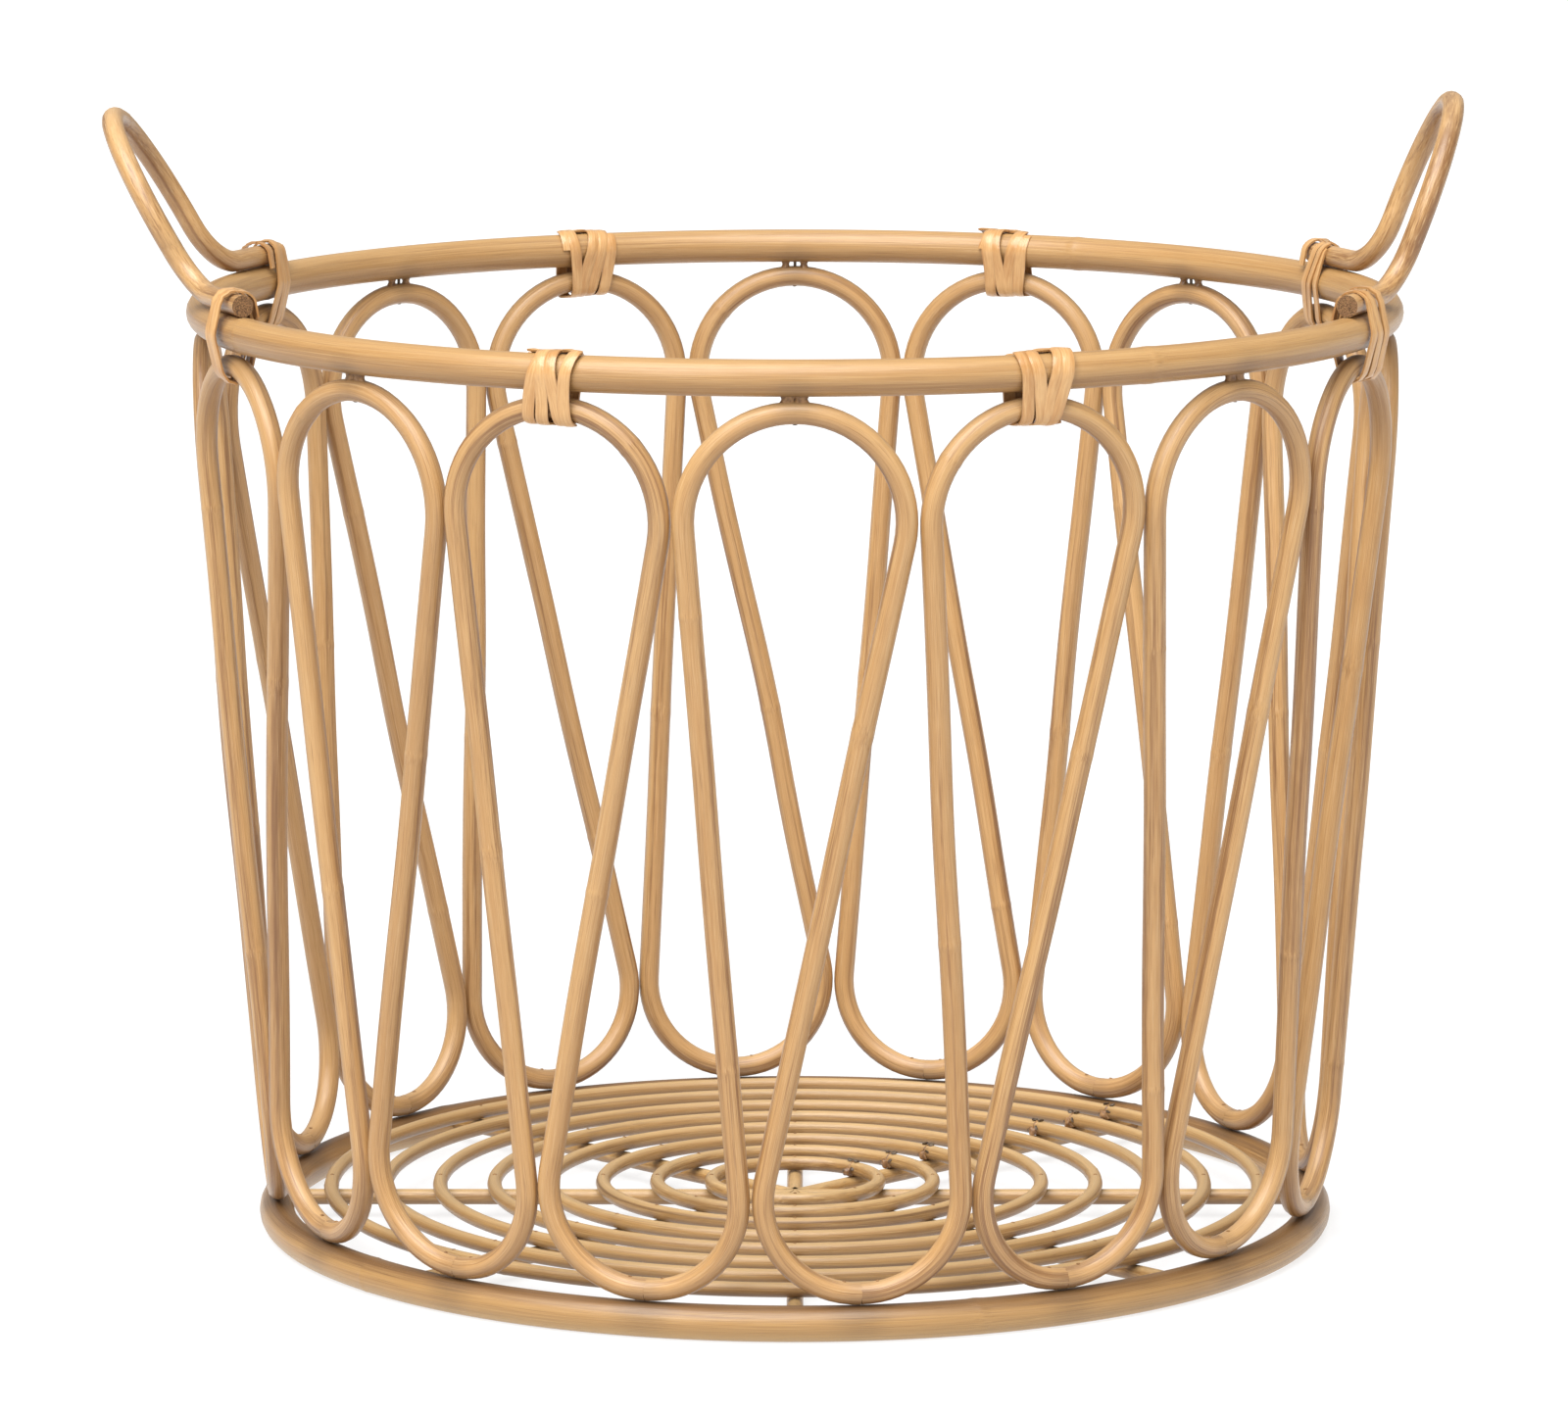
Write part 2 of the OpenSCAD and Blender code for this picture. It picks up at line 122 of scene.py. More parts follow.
def caneMaterial(name, look):
    pale, light, middle, dark = look["pale"], look["light"], look["middle"], look["dark"]
    made, start, shader = newMaterial(name)
    uv = start.node("ShaderNodeUVMap", {"uv_map": "UVMap"})
    turn = uv.node("ShaderNodeSeparateXYZ", {}, {0: uv})
    along = Sock(start.tree, turn.out.node.outputs[1])
    angle = turn * tau

    # Wraps the pattern round the cane without a seam
    def onCane(stretch, spread=1.0):
        places = {0: angle.cos() * spread, 1: angle.sin() * spread, 2: along * stretch}
        return start.node("ShaderNodeCombineXYZ", {}, places)

    grain = onCane(26.0, 1.0).noise(look["fibre"], 3.0, 0.62)
    streak = onCane(15.0, 0.5).noise(2.2, 4.0, 0.6)
    broad = onCane(6.0, 0.25).noise(1.1, 2.0)
    shade = onCane(9.0, 0.5).noise(1.2, 3.0, 0.55)
    blotch = onCane(38.0, 0.9).noise(1.8, 4.0, 0.7)
    fleck = onCane(16.0, 1.0).noise(5.5, 2.0, 0.5)
    knot = attribute(start, "knot")
    shadeAndStain = attribute(start, "shadeAndStain")
    tone = (0.30 * grain + 0.22 * streak + 0.48 * broad).ramp(0.36, 0.64)
    colour = tone.mix(middle, light)
    brown = (shade * 0.72 + grain * 0.28).ramp(0.52, 0.34) * look["streaks"]
    colour = brown.mix(colour, dark)
    calm = attribute(start, "calm")
    colour = (calm * 0.85).mix(colour, tuple(0.5 * (a + b) for a, b in zip(middle, light)))
    colour = (blotch.ramp(0.58, 0.80) * 0.22).mix(colour, dark)
    colour = (fleck.ramp(0.64, 0.76) * 0.45).mix(colour, dark)
    colour = (grain.ramp(0.54, 0.72) * 0.34).mix(colour, pale)
    colour = (grain.ramp(0.46, 0.28) * 0.30).mix(colour, dark)
    speck = onCane(90.0, 1.6).noise(7.0, 2.0)
    colour = (speck.ramp(0.58, 0.74) * 0.42).mix(colour, dark)
    # Painted light and shade: tops made lighter and undersides darker by which way the surface faces (turned
    # round on the base hoop)
    up = attribute(start, "up")
    colour = (up.ramp(0.35, 1.0) * look["paintedTopShading"]).mix(colour, look["paintedTopTint"])
    colour = (up.ramp(0.25, -0.8) * look["below"]).mix(colour, look["paintedUnderTint"])
    scar = (knot * (0.5 + blotch)).ramp(0.25, 0.95)
    colour = (scar * 0.62).mix(colour, dark)
    # Darker where other parts touch: part stain, part painted contact shade
    colour = ((shadeAndStain * (0.25 + 1.2 * blotch)).ramp(0.25, 1.0) * 0.6).mix(colour, look["shadeAndStain"])
    start.tree.links.new(colour.out, shader.inputs["Base Color"])
    start.tree.links.new((0.34 + 0.18 * blotch + 0.12 * scar).out, shader.inputs["Roughness"])
    shader.inputs["Coat Weight"].default_value = 0.35
    shader.inputs["Coat Roughness"].default_value = 0.26
    shader.inputs["Specular IOR Level"].default_value = 0.55
    height = grain * 0.6 + blotch * 0.3 + knot * 1.6 + broad * 0.5
    bumped(start, shader, height, 0.00022)
    return made


# The last four entries of each look set the strength and tint of the painted light on tops and the painted
# shade on undersides (the base hoop has them the other way round)
hoopLook = {"pale": rgb(208, 178, 130), "light": rgb(192, 151, 97), "middle": rgb(174, 130, 75),
            "dark": rgb(104, 62, 28), "shadeAndStain": rgb(92, 68, 44), "streaks": 0.34, "fibre": 7.5,
            "paintedTopShading": 0.06, "paintedTopTint": rgb(208, 178, 130), "below": 0.30, "paintedUnderTint": rgb(104, 62, 28)}
sideLook = {"pale": rgb(218, 190, 150), "light": rgb(199, 157, 103), "middle": rgb(181, 136, 82),
            "dark": rgb(108, 64, 28), "shadeAndStain": rgb(92, 68, 44), "streaks": 0.72, "fibre": 6.5,
            "paintedTopShading": 0.16, "paintedTopTint": rgb(218, 190, 150), "below": 0.42, "paintedUnderTint": rgb(108, 64, 28)}
floorLook = {"pale": rgb(222, 192, 142), "light": rgb(179, 139, 84), "middle": rgb(158, 117, 65),
             "dark": rgb(78, 46, 20), "shadeAndStain": rgb(92, 68, 44), "streaks": 0.36, "fibre": 5.5,
             "paintedTopShading": 0.42, "paintedTopTint": rgb(222, 192, 142), "below": 0.5, "paintedUnderTint": rgb(78, 46, 20)}
# Painted light and shade turned round on the base hoop: painted shade on its top, painted light low down
baseLook = {"pale": rgb(200, 164, 106), "light": rgb(175, 135, 81), "middle": rgb(154, 112, 61),
            "dark": rgb(78, 46, 20), "shadeAndStain": rgb(92, 68, 44), "streaks": 0.42, "fibre": 6.5,
            "paintedTopShading": 0.60, "paintedTopTint": rgb(106, 75, 47), "below": 0.36, "paintedUnderTint": rgb(200, 164, 106)}
hoopMaterial = caneMaterial("hoopCane", hoopLook)
sideMaterial = caneMaterial("sideCane", sideLook)
floorMaterial = caneMaterial("floorCane", floorLook)
baseMaterial = caneMaterial("baseCane", baseLook)


def endMaterial():
    made, start, shader = newMaterial("caneEnd")
    place = start.node("ShaderNodeTexCoord", {}, out=3)
    pores = place.noise(2600.0, 2.0)
    blotch = place.noise(420.0, 3.0)
    colour = pores.ramp(0.38, 0.62).mix(rgb(74, 50, 30), rgb(156, 116, 74))
    colour = (blotch.ramp(0.45, 0.7) * 0.5).mix(colour, rgb(122, 88, 56))
    start.tree.links.new(colour.out, shader.inputs["Base Color"])
    shader.inputs["Roughness"].default_value = 0.8
    bumped(start, shader, pores, 0.0003)
    return made


def peelMaterial():
    made, start, shader = newMaterial("peel")
    uv = start.node("ShaderNodeUVMap", {"uv_map": "UVMap"})
    across = uv.node("ShaderNodeSeparateXYZ", {}, {0: uv})
    along = Sock(start.tree, across.out.node.outputs[1])
    place = start.node("ShaderNodeCombineXYZ", {}, {0: across, 1: along * 12.0, 2: along * 3.0})
    grain = place.noise(9.0, 3.0, 0.6)
    broad = start.node("ShaderNodeCombineXYZ", {}, {0: across * 0.5, 1: along * 40.0}).noise(1.4, 3.0)
    colour = (grain * 0.5 + broad * 0.5).ramp(0.34, 0.66).mix(rgb(186, 134, 77), rgb(215, 171, 115))
    edge = ((across - 0.5).abs() * 2.0).ramp(0.72, 1.0)
    colour = (edge * 0.35).mix(colour, rgb(140, 94, 52))
    colour = (broad.ramp(0.60, 0.75) * 0.35).mix(colour, rgb(158, 108, 62))
    start.tree.links.new(colour.out, shader.inputs["Base Color"])
    start.tree.links.new((0.26 + 0.2 * grain).out, shader.inputs["Roughness"])
    shader.inputs["Coat Weight"].default_value = 0.5
    shader.inputs["Coat Roughness"].default_value = 0.16
    bumped(start, shader, grain + 0.6 * broad, 0.00022)
    return made


def nailMaterial(name, bright, rusty):
    made, start, shader = newMaterial(name)
    place = start.node("ShaderNodeTexCoord", {}, out=3)
    rust = place.noise(900.0, 3.0)
    colour = rust.ramp(0.42, 0.62).mix(bright, rusty)
    start.tree.links.new(colour.out, shader.inputs["Base Color"])
    start.tree.links.new((0.35 + 0.4 * rust).out, shader.inputs["Roughness"])
    bumped(start, shader, rust, 0.0001)
    return made


def glueMaterial():
    made, start, shader = newMaterial("glue")
    place = start.node("ShaderNodeTexCoord", {}, out=3)
    lumps = place.noise(500.0, 3.0)
    colour = lumps.ramp(0.35, 0.68).mix(rgb(112, 78, 46), rgb(160, 120, 78))
    start.tree.links.new(colour.out, shader.inputs["Base Color"])
    start.tree.links.new((0.22 + 0.3 * lumps).out, shader.inputs["Roughness"])
    bumped(start, shader, lumps, 0.0006)
    return made


cutMaterial, peelLook, glueLook = endMaterial(), peelMaterial(), glueMaterial()
nailLook = nailMaterial("nail", rgb(96, 80, 62), rgb(62, 44, 30))
flushNailLook = nailMaterial("varnishedNail", rgb(150, 112, 68), rgb(120, 84, 48))
print("materials ready")


def deselect():
    bpy.ops.object.select_all(action="DESELECT")


def activate(obj):
    deselect()
    obj.select_set(True)
    bpy.context.view_layer.objects.active = obj


growth = {"ringWide": 0.0016, "bulgeWide": 0.009, "uneven": 0.22, "ridge": 0.03, "bulge": 0.5, "wave": 0.45,
          "closeStep": 0.0007, "calmEnd": 0.016}


# How near a growth ring is, 0 to 1, and the wider swelling round it
def knotAt(metres, every, shift):
    phase = metres / every + shift + growth["uneven"] * math.sin(metres * 9.1 + 6 * shift)
    away = abs(phase - round(phase)) * every
    return math.exp(-(away / growth["ringWide"]) ** 2), math.exp(-(away / growth["bulgeWide"]) ** 2)


# A cane along the points. start is the grain's place at its first end, or None for a chance one
def sweep(name, points, thick, material, closed=False, sides=12, every=0.17, shadeAndStainSpots=(), reach=0.009,
          swell=0.02, start=None):
    deselect()
    bpy.ops.curve.primitive_bezier_curve_add()
    curve = bpy.context.object
    curve.name = name
    data = curve.data
    data.splines.clear()
    line = data.splines.new("POLY")
    line.use_cyclic_u = closed
    shift = random.random()
    lengths = [0.0]
    for a, b in zip(points, points[1:]):
        lengths.append(lengths[-1] + (b - a).length)
    whole = lengths[-1] + ((points[0] - points[-1]).length if closed else 0)
    every = whole / max(1, round(whole / every)) if closed else every
    dense = []
    for a, b, run in zip(points, points[1:] + points[:1], lengths):
        dense.append((a, run))
        long = (b - a).length if closed or run < lengths[-1] else 0.0
        for i in range(1, int(long / growth["closeStep"])):
            here = i * growth["closeStep"]
            if knotAt(run + here, every, shift)[0] > 0.04:
                dense.append((a.lerp(b, here / long), run + here))
    line.points.add(len(dense) - 1)
    for spot, (place, run) in zip(line.points, dense):
        spot.co = (*place, 1.0)
        wave = noise.noise(Vector((run * 14.0, shift * 50, 3.0)))
        ridge, bulge = knotAt(run, every, shift)
        swollen = swell * (growth["wave"] * wave + growth["bulge"] * bulge)
        spot.radius = 1.0 + swollen + growth["ridge"] * ridge
    data.dimensions = "3D"
    data.bevel_depth = thick / 2
    data.bevel_resolution = (sides - 4) // 2
    data.use_fill_caps = not closed
    bpy.ops.object.convert(target="MESH")
    cane = bpy.context.object
    cane.name = name
    mesh = cane.data
    knots = mesh.attributes.new("knot", "FLOAT", "POINT")
    shadeAndStain = mesh.attributes.new("shadeAndStain", "FLOAT", "POINT")
    facingForShading = mesh.attributes.new("up", "FLOAT", "POINT")
    calm = mesh.attributes.new("calm", "FLOAT", "POINT")
    uvs = mesh.uv_layers["UVMap"]
    runOf = [0.0] * len(mesh.vertices)
    for loop, uv in zip(mesh.loops, uvs.data):
        run = uv.uv.y * whole
        runOf[loop.vertex_index] = min(run, whole * (1 - 1e-4)) if run < whole else runOf[loop.vertex_index]
        uv.uv.y = run + (shift * 40 if start is None else start)
    for vertex, run in zip(mesh.vertices, runOf):
        knots.data[vertex.index].value = knotAt(run, every, shift)[0]
        # Nearness to the spots where other parts touch, for the stain and painted contact shade
        near = max((math.exp(-((vertex.co - spot).length / reach) ** 2) for spot in shadeAndStainSpots), default=0.0)
        shadeAndStain.data[vertex.index].value = near
        # Which way the point faces, for the painted light on tops and painted shade below in the cane
        # materials
        facingForShading.data[vertex.index].value = vertex.normal.z
        nearEnd = min(runOf[vertex.index], whole - runOf[vertex.index])
        stillness = math.exp(-(nearEnd / growth["calmEnd"]) ** 2)
        calm.data[vertex.index].value = 0.0 if start is None else stillness
    mesh.materials.append(material)
    if not closed:
        mesh.materials.append(cutMaterial)
        for end, inner in ((points[0], points[1]), (points[-1], points[-2])):
            away = (end - inner).normalized()
            for face in mesh.polygons:
                if face.normal.dot(away) > 0.9 and (face.center - end).length < thick * 0.6:
                    face.material_index = 1
    activate(cane)
    bpy.ops.object.shade_smooth_by_angle(angle=math.radians(50))
    return cane


# Points of the arc that rounds the corner b of a-b-c
def bend(a, b, c, radius, sides=16):
    into, out = (b - a).normalized(), (c - b).normalized()
    turn = into.angle(out)
    cut = radius * math.tan(turn / 2)
    start = b - into * cut
    inward = (out - into * into.dot(out)).normalized()
    middle = start + inward * radius
    steps = [turn * i / sides for i in range(sides + 1)]
    return [middle - inward * radius * math.cos(t) + into * radius * math.sin(t) for t in steps]


# Points strictly between a and b, bowed a little to the side
def straight(a, b, step=0.0035, bow=0.0, seed=0.0):
    count = max(2, int((b - a).length / step))
    way = (b - a).normalized()
    side = way.cross(Vector((0.3, 0.7, 0.1))).normalized()
    other = way.cross(side)
    points = []
    for i in range(1, count):
        t = i / count
        hold = math.sin(math.pi * t) ** 2
        wander = noise.noise_vector(Vector((t * 2.2, seed, 0.5))) * bow * hold
        points.append(a.lerp(b, t) + side * wander.x + other * wander.y)
    return points


def turned(point, degrees):
    return Matrix.Rotation(math.radians(degrees), 3, "Z") @ point


rimLow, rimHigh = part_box("rim_hoop")
baseLow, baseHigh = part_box("base_hoop")
ringLow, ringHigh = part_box("base_ring_8")
rim = {"thick": rimHigh.z - rimLow.z, "height": (rimHigh.z + rimLow.z) / 2}
rim["radius"] = (rimHigh.x - rimLow.x) / 2 - rim["thick"] / 2
base = {"thick": 13 * mm, "flat": 0.4 * mm}
base["radius"] = (baseHigh.x - baseLow.x) / 2 - base["thick"] / 2
base["height"] = base["thick"] / 2 - base["flat"]
side = {"thick": 8 * mm, "loops": 16, "turn": math.radians(5.6), "gap": 0.2 * mm, "rimGap": 1.5 * mm,
        "seat": 0.15 * mm, "pitch": 22.5, "bow": 1.6 * mm, "arcSides": 18,
        "ringEvery": 0.23, "shadeAndStainReach": 0.011}
side["archZ"] = rim["height"] - rim["thick"] / 2 - side["rimGap"] - side["thick"] / 2
side["footZ"] = base["height"] + base["thick"] / 2 + side["seat"] + side["thick"] / 2


# One loop's corners: its foot on the left, both ends of its arch and its foot on the right
def wallCorners():
    half = math.radians(side["pitch"] / 2)
    toFoot, toArch = side["turn"], math.radians(side["pitch"]) - side["turn"]
    tall = side["archZ"] - side["footZ"]
    rimR, baseR = rim["radius"], base["radius"]
    sumSec = 1 / math.sin(toFoot) + 1 / math.sin(toArch)
    sumCot = 1 / math.tan(toFoot) + 1 / math.tan(toArch)
    slope = (rimR - baseR) / tall

    def room(r):
        return r * math.tan(half) - (side["thick"] + side["gap"]) / (2 * math.cos(half))

    archRoom = room(rimR - slope * room(rimR))
    footRoom = room(baseR + slope * room(baseR))
    sideways = archRoom + footRoom - (rimR + baseR) / 2 * math.tan(half)
    lean = math.atan(sideways / (tall - archRoom - footRoom))
    archHalf, footHalf = archRoom / math.cos(lean), footRoom / math.cos(lean)
    a, b = sumCot * archHalf, sumSec * (tall - archHalf)
    c, d = -sumSec * (tall - footHalf), -sumCot * footHalf
    p = 2 * archHalf - sumSec * baseR + sumCot * rimR
    q = 2 * footHalf - sumSec * rimR + sumCot * baseR
    archSlope, footSlope = (p * d - b * q) / (a * d - b * c), (a * q - c * p) / (a * d - b * c)

    def corners(z):
        archPlane = rimR + archSlope * (z - side["archZ"])
        footPlane = baseR + footSlope * (z - side["footZ"])
        before = (archPlane * math.cos(toArch) - footPlane) / math.sin(toArch)
        after = (footPlane - archPlane * math.cos(toFoot)) / math.sin(toFoot)
        return Vector((archPlane, before, z)), Vector((archPlane, after, z))

    return corners(side["archZ"]) + corners(side["footZ"])


archA, archB, legFoot, footA = wallCorners()
footB = turned(legFoot, side["pitch"])
lastFoot = turned(footA, -side["pitch"])
nextArch = turned(archA, side["pitch"])


def cornerTurn(a, b, c):
    return (b - a).angle(c - b)


archTurns = cornerTurn(legFoot, archA, archB), cornerTurn(archA, archB, footA)
footTurns = cornerTurn(archB, footA, footB), cornerTurn(footA, footB, nextArch)
archBend = (archB - archA).length / (math.tan(archTurns[0] / 2) + math.tan(archTurns[1] / 2))
footBend = (footB - footA).length / (math.tan(footTurns[0] / 2) + math.tan(footTurns[1] / 2))
archTop = archA.lerp(archB, archBend * math.tan(archTurns[0] / 2) / (archB - archA).length)
footJoint = footA.lerp(footB, footBend * math.tan(footTurns[0] / 2) / (footB - footA).length)
archShift = math.degrees(math.atan2(archTop.y, archTop.x))


def archAt(k):
    return -90 + side["pitch"] * k


def sidePath(k):
    seed = 3.7 * k
    sides = side["arcSides"]
    first = bend(archA, legFoot, lastFoot, footBend, sides)[::-1]
    archOne = bend(legFoot, archA, archB, archBend, sides)
    archTwo = bend(archA, archB, footA, archBend, sides)
    last = bend(archB, footA, footB, footBend, sides)
    points = first + straight(first[-1], archOne[0], bow=side["bow"], seed=seed) + archOne
    points += archTwo[1:] + straight(archTwo[-1], last[0], bow=side["bow"], seed=seed + 1.3) + last
    return [turned(p, archAt(k) - archShift) for p in points]


loops = range(side["loops"])
underJoint = footJoint - Vector((0, 0, side["thick"] / 2))
underRim = Vector((rim["radius"], 0, rim["height"] - rim["thick"] / 2))
footSpots = [turned(underJoint, archAt(k) - archShift) for k in loops]
archSpots = [turned(underRim, archAt(k)) for k in loops]
grainRun = 0.0  # the grain runs on from one cane to the next, and breaks off at the back
for k in list(loops[8:]) + list(loops[:8]):
    node = f"side_cane_{k + 1}"
    near = [footSpots[k], footSpots[k - 1], archSpots[k]]
    path = sidePath(k)
    cane = sweep(f"sideCane{k + 1}", path, side["thick"], sideMaterial, every=side["ringEvery"],
                 shadeAndStainSpots=near, reach=side["shadeAndStainReach"], start=grainRun)
    grainRun += sum((b - a).length for a, b in zip(path, path[1:]))
    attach(cane, "root")
    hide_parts(node)
print("side canes bent")


def circle(radius, height, start, finish, step):
    count = int(abs(finish - start) * radius / step)
    whole = abs(abs(finish - start) - tau) < 1e-6
    spots = [start + (finish - start) * i / count for i in range(count if whole else count + 1)]
    return [Vector((radius * math.cos(t), radius * math.sin(t), height)) for t in spots]


hoop = {"sides": 20, "step": 0.0045, "swell": 0.012, "rimStart": 2.2, "baseStart": 0.9}
rimPath = circle(rim["radius"], rim["height"], hoop["rimStart"], hoop["rimStart"] + tau, hoop["step"])
rimHoop = sweep("rimHoop", rimPath, rim["thick"], hoopMaterial, closed=True, sides=hoop["sides"],
                every=0.26, shadeAndStainSpots=archSpots, reach=0.012, swell=hoop["swell"])
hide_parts("rim_hoop")
basePath = circle(base["radius"], base["height"], hoop["baseStart"], hoop["baseStart"] + tau, hoop["step"])
baseHoop = sweep("baseHoop", basePath, base["thick"], baseMaterial, closed=True, sides=hoop["sides"],
                 every=0.29, shadeAndStainSpots=footSpots, reach=0.016, swell=hoop["swell"])
for vertex in baseHoop.data.vertices:
    vertex.co.z = max(vertex.co.z, 0.0)  # sanded flat below
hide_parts("base_hoop")
for piece in (rimHoop, baseHoop):
    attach(piece, "root")
print("hoops bent")

floor = {"count": 8, "first": 31.5 * mm, "thick": 5.5 * mm, "jointAt": math.radians(45),
         "jointGap": 0.7 * mm, "step": 0.0035, "ringEvery": 0.21, "swell": 0.03, "spokeThick": 6 * mm,
         "spokeZ": base["height"] + 1.5 * mm, "spokeEvery": 0.19, "spokeGap": 0.2 * mm,
         "spokeBow": 0.3 * mm, "spokeTip": 1.0 * mm, "mitreGap": 0.4 * mm, "barGap": 3.1 * mm, "between": 45}
floor["ringZ"] = (ringLow.z + ringHigh.z) / 2
floor["apart"] = (base["radius"] - floor["first"]) / floor["count"]
ringRadii = [floor["first"] + i * floor["apart"] for i in range(floor["count"])]
for i, radius in enumerate(ringRadii):
    slack = floor["jointGap"] / radius / 2
    first, last = floor["jointAt"] + slack, floor["jointAt"] + tau - slack
    path = circle(radius, floor["ringZ"], first, last, floor["step"])
    underRing = Vector((radius, 0, floor["ringZ"] - floor["thick"] / 2))
    spots = [turned(underRing, floor["between"] * s) for s in range(8)]
    ring = sweep(f"floorRing{i + 1}", path, floor["thick"], floorMaterial, every=floor["ringEvery"],
                 shadeAndStainSpots=spots, reach=0.006, swell=floor["swell"])
    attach(ring, "root")
    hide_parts(f"base_ring_{i + 1}")


# Cuts away what lies on that side of a plane and closes the cut
def trimmed(obj, place, way):
    activate(obj)
    bpy.ops.object.mode_set(mode="EDIT")
    bpy.ops.mesh.select_all(action="SELECT")
    bpy.ops.mesh.bisect(plane_co=place, plane_no=way, use_fill=True, clear_outer=True)
    bpy.ops.object.mode_set(mode="OBJECT")


# One bar runs right across, and the others are mitred to it in the middle
spokeReach = base["radius"] - base["thick"] / 2 - floor["spokeGap"]
barHeight = Vector((0, 0, floor["spokeZ"]))
barTop = barHeight + Vector((0, 0, floor["spokeThick"] / 2))
for s in (0, 1, 2, 3, 5, 6, 7):
    way = turned(Vector((1, 0, 0)), floor["between"] * s)
    inner = way * floor["spokeTip"] if s else -way * spokeReach
    a, b = inner + barHeight, way * spokeReach + barHeight
    path = [a] + straight(a, b, bow=floor["spokeBow"], seed=s * 2.1) + [b]
    spots = [way * radius + barTop for radius in ringRadii]
    number = s if s < 4 else s - 1
    bar = sweep(f"spoke{number}" if s else "crossBar", path, floor["spokeThick"], floorMaterial,
                every=floor["spokeEvery"], shadeAndStainSpots=spots, reach=0.005)
    if s:
        half = floor["between"] / 2
        trimmed(bar, way * floor["mitreGap"], turned(way, -half - 90))
        trimmed(bar, way * floor["mitreGap"], turned(way, half + 90))
        if s in (2, 6):  # these two end on the bar's side
            trimmed(bar, way * floor["barGap"], -way)
    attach(bar, "root")
    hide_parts(f"spoke_{number}" if s else "cross_bar")
print("floor laid")

handle = {"thick": 8 * mm, "half": 48 * mm, "footIn": 42 * mm, "footOut": 10 * mm, "bend": 20 * mm,
          "rightRise": 76 * mm, "rightOut": 24 * mm, "leftRise": 70 * mm, "leftOut": 33 * mm,
          "at": math.radians(22.5), "bow": 0.8 * mm, "ringEvery": 0.19}
handle["footZ"] = rim["height"] + rim["thick"] / 2 + side["seat"] + handle["thick"] / 2


def handlePath(mirrored):
    c, s, r = math.cos(handle["at"]), math.sin(handle["at"]), rim["radius"]
    end = Vector((r * c - handle["footOut"] * s, -r * s - handle["footOut"] * c, handle["footZ"]))
    corner = Vector((r * c + handle["footIn"] * s, -r * s + handle["footIn"] * c, handle["footZ"]))
    hand = "left" if mirrored else "right"
    rise, out = handle[hand + "Rise"], handle[hand + "Out"]
    top = Vector((r + out, -handle["half"], rim["height"] + rise))
    across = Matrix.Diagonal((1, -1, 1))
    topBend = handle["half"] / math.tan(cornerTurn(corner, top, across @ top) / 2)
    low, high = bend(end, corner, top, handle["bend"], 12), bend(corner, top, across @ top, topBend, 30)
    half = [end] + straight(end, low[0]) + low
    half += straight(low[-1], high[0], bow=handle["bow"], seed=4.4) + high
    points = half + [across @ p for p in half[-2::-1]]
    flip = Matrix.Diagonal((-1, 1, 1)) if mirrored else Matrix.Identity(3)
    return [flip @ p for p in points]


for name, node, mirrored in (("handleLeft", "handle_left", True), ("handleRight", "handle_right", False)):
    piece = sweep(name, handlePath(mirrored), handle["thick"], sideMaterial, sides=16,
                  every=handle["ringEvery"])
    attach(piece, "root")
    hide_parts(node)
print("handles bent")


# Outline of a band pulled tight round circles stacked upwards, anticlockwise from its lowest point
def tightLoop(heights, widths, grow, step):
    right = []
    for i, (z, w) in enumerate(zip(heights, widths)):
        r, low, high = w / 2 + grow, -math.pi / 2, math.pi / 2
        if i > 0:
            low = math.asin((widths[i - 1] / 2 - w / 2) / (z - heights[i - 1]))
        if i < len(heights) - 1:
            high = math.asin((w / 2 - widths[i + 1] / 2) / (heights[i + 1] - z))
        if high > low:
            count = max(1, int((high - low) * r / step))
            angles = [low + (high - low) * j / count for j in range(count + 1)]
            right += [(r * math.cos(t), z + r * math.sin(t)) for t in angles]
    outline = right + [(-x, z) for x, z in right[-2:0:-1]]
    dense = []
    for (x0, z0), (x1, z1) in zip(outline, outline[1:] + outline[:1]):
        count = max(1, int(math.hypot(x1 - x0, z1 - z0) / step))
        dense += [(x0 + (x1 - x0) * i / count, z0 + (z1 - z0) * i / count) for i in range(count)]
    return dense


peel = {"thick": 0.75 * mm, "off": 0.30 * mm, "across": 6, "step": 0.0011, "startAt": 0.56,
        "overrun": 0.12, "shift": 0.55, "leastLift": 0.05, "moreEachTurn": 0.14, "sink": 0.1 * mm,
        "twist": 0.22 * mm, "uneven": 0.05, "tuck": 0.35 * mm, "tuckOver": 6}
rimBinding = {"turns": 4, "strap": 4.3 * mm, "cover": 1.04, "loose": 0.35, "crown": 0.32 * mm, "fan": 0.0}
handleBinding = {"turns": 3, "strap": 4.0 * mm, "cover": 0.86, "loose": 0.6, "crown": 0.16 * mm,
                 "fan": 0.42, "tilt": 0.5, "stand": 0.3, "standEachTurn": 0.75}
rimSlants = ((-0.05, -0.20, -0.24, 0.22, 0.10, 0.0), (0.05, 0.18, -0.22, -0.16, 0.20, 0.0),
             (0.0, 0.15, 0.20, -0.20, -0.10, 0.0), (-0.08, 0.22, -0.18, -0.22, 0.16, 0.0))


